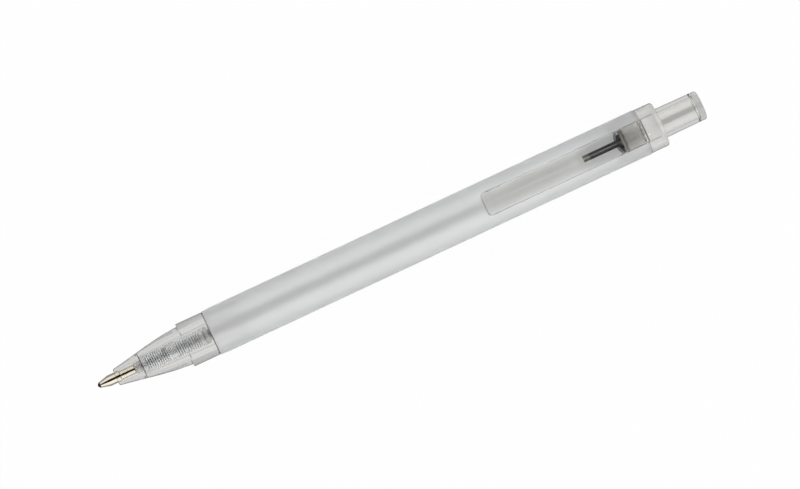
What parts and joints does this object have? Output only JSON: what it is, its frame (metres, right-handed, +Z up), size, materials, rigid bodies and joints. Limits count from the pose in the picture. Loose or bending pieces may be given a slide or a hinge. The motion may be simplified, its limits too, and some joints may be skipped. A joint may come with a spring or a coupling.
{
  "type": "retractable ballpoint pen",
  "caption": "Retractable ballpoint pen with a push button, a clear nose cone over the spring, a frosted barrel, a clear cap with clip, and a refill with a metal point.",
  "frame": {"origin": "on the surface under the middle of the pen's length, with the pen lying on its side", "axes": "+X along the pen from the writing point to the push button, +Z up, towards the clip"},
  "size_m": [0.1422, 0.0102, 0.0126],
  "materials": {
    "ball_metal": "polished",
    "nickel_silver": "turned, bright",
    "white_plastic": "smooth",
    "tube_plastic": "clear, smooth",
    "black_ink": "wet",
    "spring_steel": "drawn wire, bright",
    "clear_plastic": "clear with a warm grey cast, glossy",
    "frosted_plastic": "frosted, satin",
    "black_plastic": "smooth"
  },
  "bodies": {
    "pen_body": {"barrel": "frosted_plastic", "nose_cone": "clear_plastic", "clip_cap": "clear_plastic", "spring": "spring_steel"},
    "refill": {"point": "nickel_silver", "tip_holder": "white_plastic", "ink_tube": "tube_plastic", "ink": "black_ink"},
    "ball": {"writing_ball": "ball_metal"},
    "rotor": {"rotor": "black_plastic"},
    "button": {"push_button": "clear_plastic"}
  },
  "joints": [
    {"name": "button_slide", "type": "slide", "parent": "pen_body", "child": "button", "axis": [1, 0, 0], "range_m": [-0.001, 0.0052]},
    {"name": "refill_slide", "type": "slide", "parent": "pen_body", "child": "refill", "axis": [1, 0, 0], "range_m": [-0.001, 0.0052], "deforming": ["spring"]},
    {"name": "rotor_turn", "type": "hinge", "parent": "refill", "child": "rotor", "pos_m": [0.0488, 0, 0.00511], "axis": [1, 0, 0], "continuous": true},
    {"name": "ball_roll", "type": "hinge", "parent": "refill", "child": "ball", "pos_m": [-0.07055, 0, 0.00511], "axis": [0, 1, 0], "continuous": true}
  ],
  "couplings": [
    {"joint": "refill_slide", "follows": "button_slide", "ratio": 1}
  ]
}
